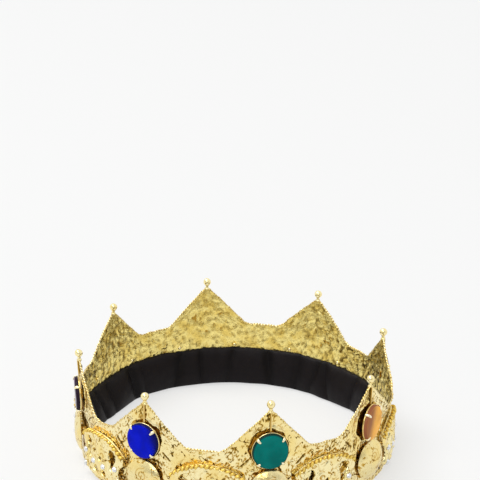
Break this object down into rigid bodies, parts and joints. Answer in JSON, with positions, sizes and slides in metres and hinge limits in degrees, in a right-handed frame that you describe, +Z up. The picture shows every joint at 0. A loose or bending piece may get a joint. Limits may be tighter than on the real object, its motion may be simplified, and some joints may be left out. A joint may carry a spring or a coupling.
{
  "type": "costume crown",
  "caption": "Open gilt costume crown: a thin band cut into ball-tipped peaks, with glass gems in claw settings, domed medallions, openwork ornaments and a gathered black head pad.",
  "frame": {"origin": "centre of the ring, on the plane that it stands on", "axes": "+Z up along the ring's axis, -Y towards peak 1 at the front"},
  "size_m": [0.2018, 0.2018, 0.0717],
  "materials": {
    "gilt_metal": "polished",
    "gem_green": "polished",
    "gem_amber": "polished",
    "gem_purple": "polished",
    "gem_blue": "polished",
    "clear_stone": "polished",
    "black_satin": "satin"
  },
  "bodies": {
    "root": {"crown_band": "gilt_metal", "head_pad": "black_satin", "finial_1": "gilt_metal", "gem_1": "gem_green", "gem_setting_1": "gilt_metal", "medallion_1": "gilt_metal", "ornament_1": "gilt_metal", "stones_1": "clear_stone", "finial_2": "gilt_metal", "gem_2": "gem_amber", "gem_setting_2": "gilt_metal", "medallion_2": "gilt_metal", "ornament_2": "gilt_metal", "stones_2": "clear_stone", "finial_3": "gilt_metal", "gem_3": "gem_purple", "gem_setting_3": "gilt_metal", "medallion_3": "gilt_metal", "ornament_3": "gilt_metal", "stones_3": "clear_stone", "finial_4": "gilt_metal", "gem_4": "gem_blue", "gem_setting_4": "gilt_metal", "medallion_4": "gilt_metal", "ornament_4": "gilt_metal", "stones_4": "clear_stone", "finial_5": "gilt_metal", "gem_5": "gem_green", "gem_setting_5": "gilt_metal", "medallion_5": "gilt_metal", "ornament_5": "gilt_metal", "stones_5": "clear_stone", "finial_6": "gilt_metal", "gem_6": "gem_amber", "gem_setting_6": "gilt_metal", "medallion_6": "gilt_metal", "ornament_6": "gilt_metal", "stones_6": "clear_stone", "finial_7": "gilt_metal", "gem_7": "gem_purple", "gem_setting_7": "gilt_metal", "medallion_7": "gilt_metal", "ornament_7": "gilt_metal", "stones_7": "clear_stone", "finial_8": "gilt_metal", "gem_8": "gem_blue", "gem_setting_8": "gilt_metal", "medallion_8": "gilt_metal", "ornament_8": "gilt_metal", "stones_8": "clear_stone"}
  },
  "joints": []
}
